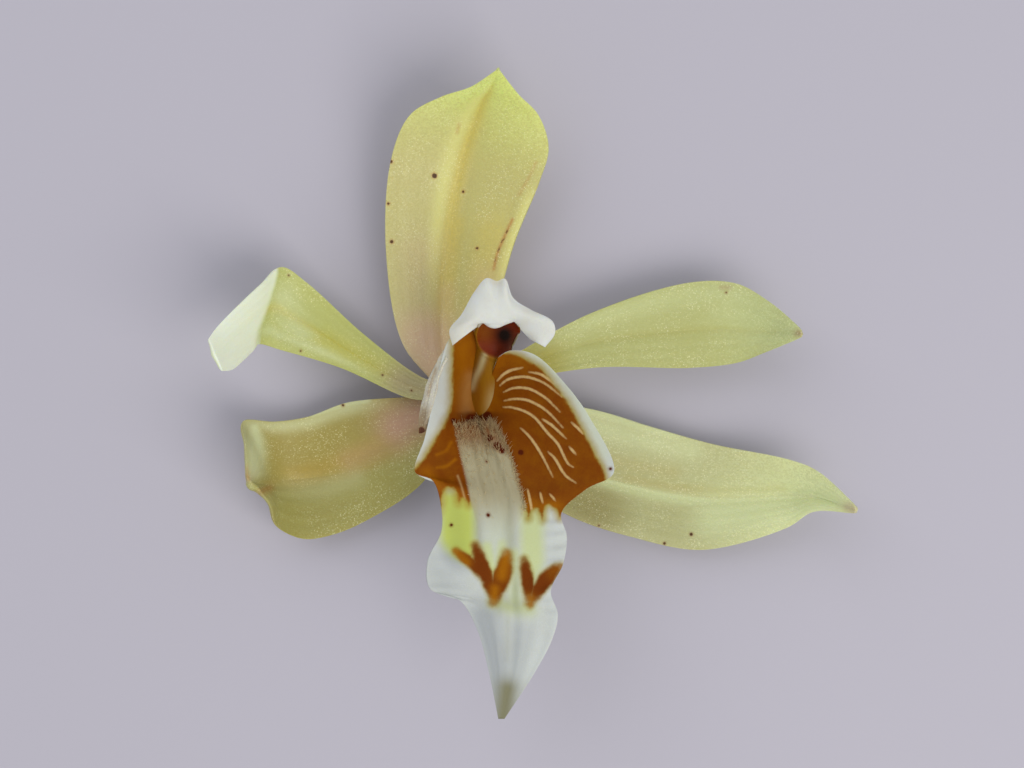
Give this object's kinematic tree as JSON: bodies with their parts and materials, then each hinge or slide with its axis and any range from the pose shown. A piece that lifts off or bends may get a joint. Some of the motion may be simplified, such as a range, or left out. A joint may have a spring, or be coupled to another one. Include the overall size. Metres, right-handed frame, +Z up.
{
  "type": "coelogyne rochussenii flower",
  "caption": "Single picked orchid flower lying face up, with pale yellow sepals and petals round a brown-striped, white-tipped lip.",
  "frame": {"origin": "on the surface that the flower lies on, at the flat spot under the bend of the ovary", "axes": "+Z up out of the face of the flower, +Y along the dorsal sepal, +X towards the right lateral sepal"},
  "size_m": [0.0484, 0.0477, 0.0138],
  "materials": {
    "sepal": "satin",
    "petal": "satin",
    "lip": "satin",
    "column": "satin",
    "anther_cap": "satin",
    "ovary": "satin"
  },
  "bodies": {
    "root": {"dorsal_sepal": "sepal", "lateral_sepal_left": "sepal", "lateral_sepal_right": "sepal", "petal_left": "petal", "petal_right": "petal", "lip": "lip", "column": "column", "anther_cap": "anther_cap", "ovary_and_pedicel": "ovary"}
  },
  "joints": []
}
